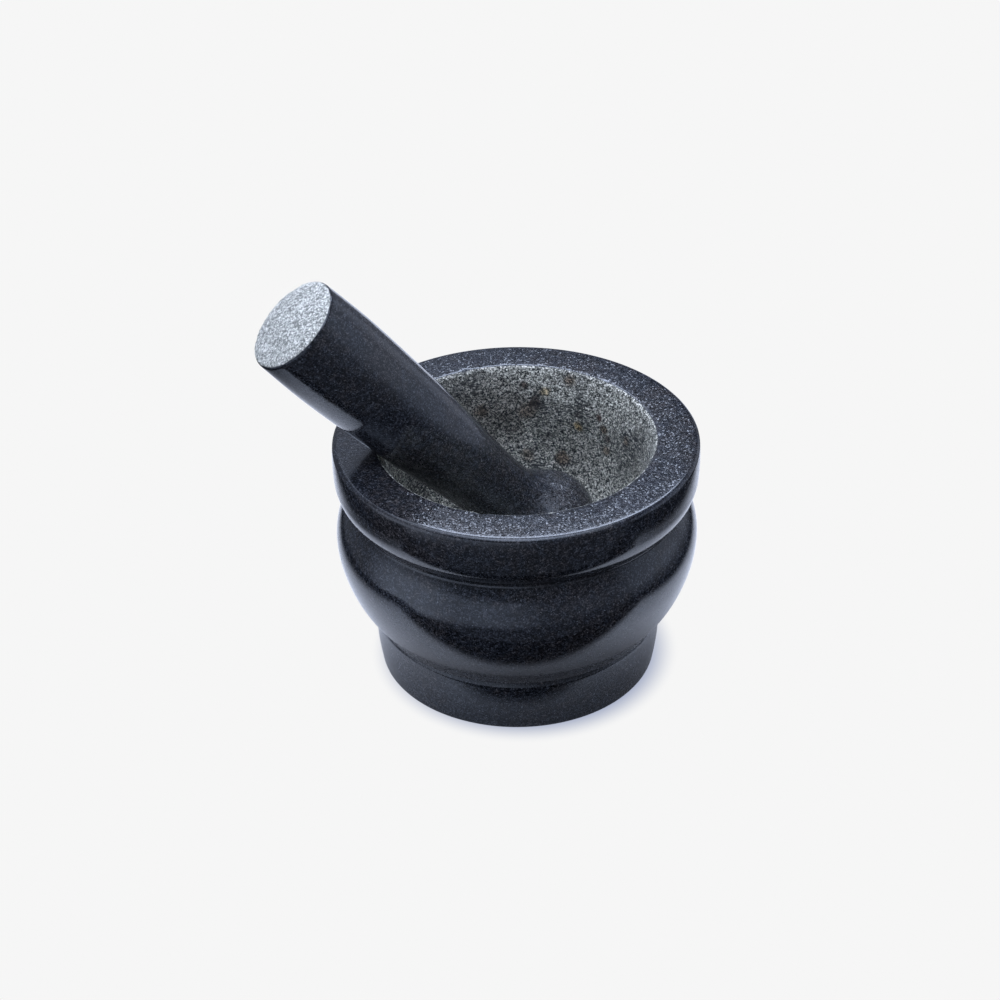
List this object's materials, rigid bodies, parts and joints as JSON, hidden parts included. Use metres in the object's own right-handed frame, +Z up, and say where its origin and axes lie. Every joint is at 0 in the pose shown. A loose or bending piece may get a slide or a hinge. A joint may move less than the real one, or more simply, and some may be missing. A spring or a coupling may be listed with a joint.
{
  "type": "mortar and pestle",
  "caption": "Round stone mortar with a flat polished lip, grooved neck, bulging belly and ring foot, and a stone pestle leaning in its rough bowl.",
  "frame": {"origin": "centre of the foot's underside, on the mortar's axis", "axes": "+Z up the mortar's axis; the pestle's free end leans towards -X and a little towards -Y"},
  "size_m": [0.1647, 0.14, 0.1714],
  "materials": {
    "mortar_granite": "black granite, polished outside and on the lip, rough grey inside the bowl",
    "pestle_granite": "black granite, polished grip, rough grey free end, satin grinding head"
  },
  "bodies": {
    "mortar": {"mortar": "mortar_granite"},
    "pestle": {"pestle": "pestle_granite"}
  },
  "joints": [
    {"name": "pestle_lift", "type": "slide", "parent": "mortar", "child": "pestle", "axis": [0, 0, 1], "range_m": [0, 0.08]}
  ]
}
